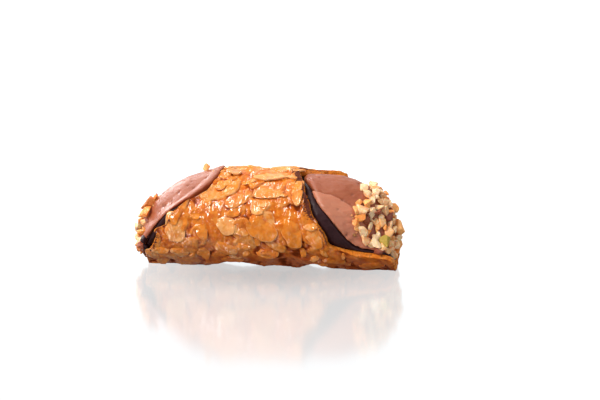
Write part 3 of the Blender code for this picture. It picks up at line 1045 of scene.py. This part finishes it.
def land_in_view(tree, across, above):
    """Where the cream is, so far right of and above the tube's middle. Past its outline, just beside it."""
    right, up, back = view_axes()
    middle = Vector((PART_X, AXIS_Y, AXIS_Z))
    for share in VIEW_SHARES:
        start = middle + right * across * share + up * above * share + back * VIEW_FROM
        hit, normal, _, _ = tree.ray_cast(start, -back)
        if hit is not None:
            past = (right * across + up * above) * (1 - share)
            return hit + past * min(1, MOST_PAST / max(past.length, 1e-6)), normal
    raise ValueError(f"no cream near {across}, {above}")


# Of a chopped nut, as shares of its size: bevel, longest edge, and the size and height of its roughness
BEVEL, LONGEST = 0.05, 0.3
NUT_GRIT, NUT_GRIT_HEIGHT = 0.32, 0.035


def chunk(rng, size):
    """A chopped nut: the hull of a few points, with softened edges and a rough surface."""
    shape, ops = bmesh.new(), bmesh.ops
    stretch = np.array([1.0, rng.uniform(0.65, 0.95), rng.uniform(0.55, 0.8)]) * size / 2
    for _ in range(int(rng.integers(10, 14))):
        corner = rng.normal(size=3)
        corner /= np.abs(corner).max() ** 0.6 * np.linalg.norm(corner) ** 0.4
        shape.verts.new(corner * stretch)
    hull = ops.convex_hull(shape, input=shape.verts)
    loose = [v for v in hull["geom_interior"] + hull["geom_unused"] if isinstance(v, bmesh.types.BMVert)]
    ops.delete(shape, geom=loose, context="VERTS")
    ops.dissolve_limit(shape, angle_limit=math.radians(12), verts=shape.verts, edges=shape.edges)
    sharp = shape.edges[:] + shape.verts[:]
    ops.bevel(shape, geom=sharp, offset=BEVEL * size, segments=1, affect="EDGES", clamp_overlap=True)
    ops.triangulate(shape, faces=shape.faces)
    long = [edge for edge in shape.edges if edge.calc_length() > LONGEST * size]
    ops.subdivide_edges(shape, edges=long, cuts=1, use_grid_fill=True)
    ops.triangulate(shape, faces=shape.faces)
    shape.verts.index_update()
    points = np.array([v.co for v in shape.verts])
    faces = [[v.index for v in face.verts] for face in shape.faces]
    shape.free()
    outward = points / np.linalg.norm(points, axis=1)[:, None]
    rough = noise(points + rng.uniform(0, 40), NUT_GRIT * size, 131)
    return points + outward * (NUT_GRIT_HEIGHT * size * rough)[:, None], faces


def turned_to(normal, rng):
    """A random turn that lays a chunk's flat side roughly along a surface."""
    tilt = Vector(normal) + Vector(rng.normal(0, 0.35, 3))
    spin = Matrix.Rotation(rng.uniform(0, 2 * math.pi), 3, "Z")
    return np.array(tilt.to_track_quat("Z", "Y").to_matrix() @ spin)


def spots(tree, rng, heart, tries):
    """Random spots of a dome: where rays from outside meet the cream on their way to its heart."""
    for _ in range(tries):
        direction = rng.normal(size=3)
        direction = Vector(direction / np.linalg.norm(direction))
        hit, normal, _, _ = tree.ray_cast(Vector(heart) + direction * DOME_FROM, -direction)
        if hit is not None:
            yield hit, normal


NUT_SIZES = (3.4, 6.2)
LEFT_EDGE, RIGHT_EDGE = -51, 40.5  # x past which the domes carry nuts
NUT_ROOM = 0.5  # least distance between two nuts, as a share of their mean size
DOMES = {1: ((38, 0, -1), 150), -1: ((-41, 0, -2), 50)}  # heart, from the axis, and number of nuts
DOME_FROM = 80  # how far off the rays start that look for a dome
NUT_TRIES = 6000
CRUMB_TRIES = 240
CRUMB_SPREAD = 2.5  # how far past the nuts' edge crumbs lie
CRUMB_SIZES = (0.5, 1.5)
NUT_LOWEST, CRUMB_LOWEST = 6, 4.5
NUT_SHARES = ((0.02, "green"), (0.05, "coated"), (0.40, "toasted"), (1.0, "pale"))  # running totals

# Each kind's piece, and the colours of its flesh, its skin and where it is broken
NUT_KINDS = {
    "pale": ("nut_bits_pale", (1.0, 0.66, 0.39), (0.98, 0.48, 0.19), (1.0, 0.80, 0.60)),
    "toasted": ("nut_bits_toasted", (0.97, 0.46, 0.15), (0.88, 0.29, 0.05), (0.98, 0.60, 0.28)),
    "green": ("pistachio_bits", (0.50, 0.34, 0.045), (0.30, 0.13, 0.04), (0.72, 0.52, 0.14)),
    "caramel": ("nut_bits_caramel", (0.70, 0.26, 0.045), (0.50, 0.13, 0.018), (0.84, 0.44, 0.16)),
    "coated": ("nut_bits_coated", (0.36, 0.095, 0.045), (0.24, 0.055, 0.028), (0.48, 0.17, 0.09)),
    "crumbs": ("nut_crumbs", (0.78, 0.38, 0.14), (0.40, 0.12, 0.05), (0.86, 0.55, 0.27)),
}

# The nuts that the front shows best: how far they are right of and above the tube's middle, size and kind
PLACED_NUTS = (
    (41, 13, 4.2, "pale"), (45.8, 13.6, 5.6, "pale"), (42.2, 9.8, 5.2, "pale"), (45, 7.3, 4.6, "pale"),
    (48, 10.4, 4.8, "pale"), (51, 10, 4.6, "toasted"), (54, 8.7, 4.6, "toasted"),
    (40.4, 3.6, 7.0, "pale"), (44, 4.2, 4.4, "pale"), (47.6, 4.7, 4.4, "pale"),
    (50.2, 6.4, 5.0, "pale"), (52.4, 2.4, 4.6, "toasted"), (55.2, 3.8, 5.8, "toasted"),
    (39.2, 0.2, 5.2, "toasted"), (44, -0.7, 3.6, "pale"), (48.4, -2, 4.8, "pale"),
    (46.2, -4.2, 4.4, "toasted"), (52, -3.3, 5.2, "pale"), (40.4, -5.6, 7.2, "pale"),
    (37, -7.2, 2.2, "green"), (45.8, -8.2, 3.8, "pale"), (54.8, -2.6, 4.6, "toasted"),
    (57.6, -4.2, 7.4, "toasted"), (49.8, -10, 6.4, "green"), (53.3, -9.4, 4.6, "toasted"),
    (56.6, -9.6, 5.0, "toasted"), (52.4, -13.4, 3.4, "pale"), (58.8, -9.4, 4.4, "pale"),
    (-53.6, 4.8, 9.2, "caramel"), (-51.7, 9.0, 3.8, "coated"), (-57.2, 2, 3.4, "coated"),
    (-59, -1.6, 4.2, "caramel"), (-58.8, -5.6, 3.8, "coated"), (-59.8, -9, 4.6, "pale"),
    (-56.2, -2, 4.2, "pale"), (-56.6, -7, 4.2, "caramel"), (-57.4, -10, 3.4, "pale"),
    (-58, -13.4, 4.0, "caramel"), (-59.6, -13.6, 1.8, "green"), (-57.1, -15.4, 2.0, "caramel"),
    (-28.0, 21.4, 4.8, "toasted"), (-55.3, -10, 4.8, "chocolate"), (-55.6, -12.8, 5.4, "chocolate"),
    (-54.8, -15.6, 4.4, "chocolate"), (-53.4, -8.2, 3.6, "chocolate"), (-57.2, -12.4, 3.6, "coated"),
    (-55.6, -5.4, 3.4, "caramel"), (-54.9, -1.2, 3.2, "coated"),
)  # fmt: skip


def nut_edge(side, spot):
    """x past which a dome carries nuts, at a spot's height."""
    ragged = float(noise(np.array(spot), 6, 121))
    high = spot.z - AXIS_Z - 9
    if side > 0:
        low = rise(17.5 - spot.z, 0, 6)
        return RIGHT_EDGE + 2 * ragged + 7 * float(low) + 6 * float(rise(high, 0, 5))
    return LEFT_EDGE + 1.2 * ragged + 0.3 * min(high, 0) - 9 * float(rise(high, 0, 3))


def build_nuts(tree):
    rng = np.random.default_rng(21)
    heaps = {kind: Heap() for kind in (*NUT_KINDS, "chocolate")}

    def add(kind, hit, normal, size, sink):
        points, faces = chunk(rng, size)
        points = points @ turned_to(normal, rng).T + np.array(hit + normal * sink)
        points[:, 2] = np.maximum(points[:, 2], 0.2)
        heaps[kind].add(points, faces, {"tone": rng.uniform(0, 1)})

    for side, (heart, count) in DOMES.items():
        middle = np.array(heart) + (0, AXIS_Y, AXIS_Z)
        placed = []
        for across, above, size, kind in PLACED_NUTS:
            if across * side > 0:
                hit, normal = land_in_view(tree, across, above)
                placed.append((hit, size))
                normal = (normal + view_axes()[2]).normalized()
                add(kind, hit, normal, size, (0.05 if kind == "chocolate" else 0.14) * size)
        for hit, normal in spots(tree, rng, middle, NUT_TRIES):
            if len(placed) == count or hit.z < NUT_LOWEST or (hit.x - nut_edge(side, hit)) * side < 0:
                continue
            size = rng.uniform(*NUT_SIZES)
            if min((hit - spot).length / (0.5 * (size + other)) for spot, other in placed) < NUT_ROOM:
                continue
            placed.append((hit, size))
            drawn = rng.random()
            kind = next(kind for total, kind in NUT_SHARES if drawn < total)
            add(kind, hit, normal, size, rng.uniform(0.12, 0.26) * size)
        for hit, normal in spots(tree, rng, middle, CRUMB_TRIES):
            past = (hit.x - nut_edge(side, hit)) * side
            if hit.z > CRUMB_LOWEST and past + rng.uniform(0, CRUMB_SPREAD) > 0:
                add("crumbs", hit, normal, rng.uniform(*CRUMB_SIZES), 0.15)
    for kind, (name, *colours) in NUT_KINDS.items():
        heaps[kind].build(name, nut_material(name, *colours), smooth_shaded=False)
    heaps["chocolate"].build("chocolate_smear", chocolate_material(), "chocolate")


# ---------------- studio


VIEW_DISTANCE = 750
VIEW_SHIFT = (13.3, 7.8)  # how far right of and above the tube's middle the camera points
LENS = 101.25
SENSOR = 36


def build_camera():
    right, up, back = view_axes()
    target = Vector((PART_X, AXIS_Y, AXIS_Z)) + right * VIEW_SHIFT[0] + up * VIEW_SHIFT[1]
    data = bpy.data.cameras.new("camera")
    data.lens, data.sensor_width = LENS, SENSOR
    data.clip_start, data.clip_end = 0.01, 20
    camera = linked("camera", data)
    turn = Matrix((right, up, back)).transposed().to_4x4()
    camera.matrix_world = Matrix.Translation((target + back * VIEW_DISTANCE) * MM) @ turn
    bpy.context.scene.camera = camera


LIT = Vector((0, 0, 0.02))  # what the lights point at


def softbox(name, place, size, power):
    data = bpy.data.lights.new(name, "AREA")
    data.shape = "RECTANGLE"
    data.size, data.size_y = size
    data.energy = power
    light = linked(name, data)
    light.location = place
    light.rotation_euler = (LIT - Vector(place)).to_track_quat("-Z", "Y").to_euler()


# What the camera sees of the floor, before its gloss: a shade round the tube, an even oval in front where
# the photo's side mirrors the tube, and white past it. Each has a heart, a share by which distances along
# X count more, the two distances between which it changes, and what it adds at each.
FLOOR_SHADE = ((0, 0), 1, (20, 80), (0.80, 1.05))
FLOOR_WHITE = ((30, -170), 2, (120, 400), (0, 0.65))
FLOOR_LIGHT = 0.25  # how much light the floor throws back on the cannolo
FLOOR_GLOSS = (0.10, 0.75)  # share of the gloss, seen from above and at a glance
FLOOR_TINT = (0.9, 0.96, 1)
FLOOR_HALF = 4  # metres
WALL_FACING = (-0.45, 0.80, 0.40)
WALL_EDGE = (-0.7, 0.9)  # cosines of the angles from the wall at which the room is dim, and bright
ROOM = (0.15, 1.05)  # how bright the room is away from the wall and at it
BACKDROP = 1.15
WHITE = (1, 1, 1)


def build_floor():
    mesh = bpy.data.meshes.new("floor")
    corners = [(x * FLOOR_HALF, y * FLOOR_HALF, 0) for x, y in ((-1, -1), (1, -1), (1, 1), (-1, 1))]
    mesh.from_pydata(corners, [], [(0, 1, 2, 3)])
    material = bpy.data.materials.new("white_gloss")
    tree = Tree(material)
    tree.nodes.clear()
    place = tree.add("TexCoord").outputs["Object"]

    def ramp(heart, stretch, reaches, amounts):
        """An amount that changes with the distance from a heart on the floor."""
        scaled = tree.vectors("MULTIPLY", place, (stretch, 1, 1))
        reach = tree.vectors("DISTANCE", scaled, (heart[0] * stretch * MM, heart[1] * MM, 0))
        return tree.between(reach, *(each * MM for each in reaches), *amounts)

    shown = tree.math("ADD", ramp(*FLOOR_SHADE), ramp(*FLOOR_WHITE))
    seen = tree.add("LightPath").outputs["Is Camera Ray"]
    glow = tree.add("Emission", Strength=tree.blend(seen, FLOOR_LIGHT, shown))
    gloss = tree.add("BsdfGlossy", Color=FLOOR_TINT, Roughness=0.11)
    share = tree.blend(tree.add("Fresnel", IOR=1.6).outputs[0], *FLOOR_GLOSS)
    mix = tree.add("MixShader", share, glow.outputs[0], gloss.outputs[0])
    tree.add("OutputMaterial", Surface=mix.outputs[0])
    mesh.materials.append(material)
    floor = linked("floor", mesh)
    floor.location.z = -0.1 * MM


def build_world():
    """White for the camera. For the light, a bright wall behind on the left, and a dim room in front."""
    world = bpy.data.worlds.new("studio")
    tree = Tree(world)
    facing = tree.vectors("DOT_PRODUCT", tree.add("TexCoord").outputs["Generated"], WALL_FACING)
    room = tree.between(facing, *WALL_EDGE, *ROOM)
    seen = tree.add("LightPath").outputs["Is Camera Ray"]
    strength = tree.blend(seen, room, BACKDROP)
    tree.give(tree.nodes["Background"], Color=WHITE, Strength=strength)
    bpy.context.scene.world = world


def build_studio():
    build_camera()
    build_floor()
    build_world()
    bpy.context.scene.view_settings.view_transform = "Standard"
    softbox("key", (-0.30, 0.16, 0.84), (0.16, 0.26), 1.9)
    softbox("window", (-0.76, 0.72, 0.58), (0.45, 0.4), 6.6)
    softbox("strip", (-0.50, -0.66, 0.62), (0.14, 0.85), 10.3)
    softbox("fill", (0.60, -0.55, 0.32), (0.6, 0.6), 1.3)


crust = Crust()
crust.build()
build_slices(crust)
build_slivers(crust)
build_lining()
build_nuts(build_cream())
build_studio()
